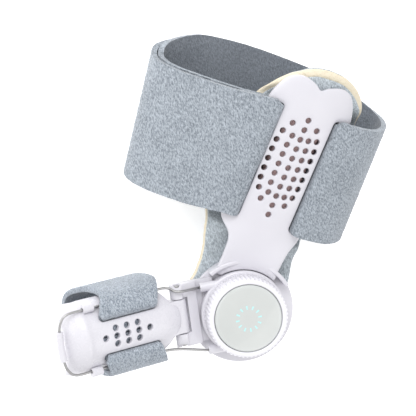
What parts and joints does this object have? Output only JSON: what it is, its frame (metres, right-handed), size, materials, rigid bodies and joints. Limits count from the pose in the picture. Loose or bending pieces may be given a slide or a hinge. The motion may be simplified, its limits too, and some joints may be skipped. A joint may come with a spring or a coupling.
{
  "type": "bunion corrector",
  "caption": "Bunion corrector: vented curved foot plate on a soft pad with a plush strap loop, and a toe cuff on a swivelling, laced arm with a knurled dial.",
  "frame": {"origin": "middle of the flat underside of the foot strap, on the floor", "axes": "+Z along the dial's axis, up; +Y from the dial to the heel end of the foot plate"},
  "size_m": [0.1113, 0.1559, 0.0482],
  "materials": {
    "white_plastic": "moulded, slightly glossy",
    "cap_gloss": "glossy disc",
    "grey_plush": "short brushed loop pile",
    "cream_foam": "soft foam, cut edge",
    "steel": "thin twisted wire"
  },
  "bodies": {
    "brace": {"foot_plate": "white_plastic", "pad_cover": "grey_plush", "pad_foam": "cream_foam", "pad_lining": "grey_plush", "foot_strap": "grey_plush"},
    "arm": {"toe_arm": "white_plastic", "spool_housing": "white_plastic", "hinge_pin": "steel"},
    "dial": {"dial_ring": "white_plastic", "dial_cap": "cap_gloss"},
    "cuff": {"toe_cuff": "white_plastic", "toe_strap": "grey_plush", "lace_guide_upper": "white_plastic", "lace_guide_lower": "white_plastic", "lace_sleeve": "white_plastic", "lace": "steel"}
  },
  "joints": [
    {"name": "arm_swivel", "type": "hinge", "parent": "brace", "child": "arm", "pos_m": [0.01854, -0.08146, 0.0205], "axis": [0, 0, 1], "range_deg": [-2, 123]},
    {"name": "dial_spin", "type": "hinge", "parent": "arm", "child": "dial", "pos_m": [0.01854, -0.08146, 0.033], "axis": [0, 0, 1], "continuous": true},
    {"name": "cuff_hinge", "type": "hinge", "parent": "arm", "child": "cuff", "pos_m": [-0.00694, -0.091, 0.0262], "axis": [-0.4648, 0.8854, 0], "range_deg": [-40, 20], "deforming": ["lace"]}
  ]
}
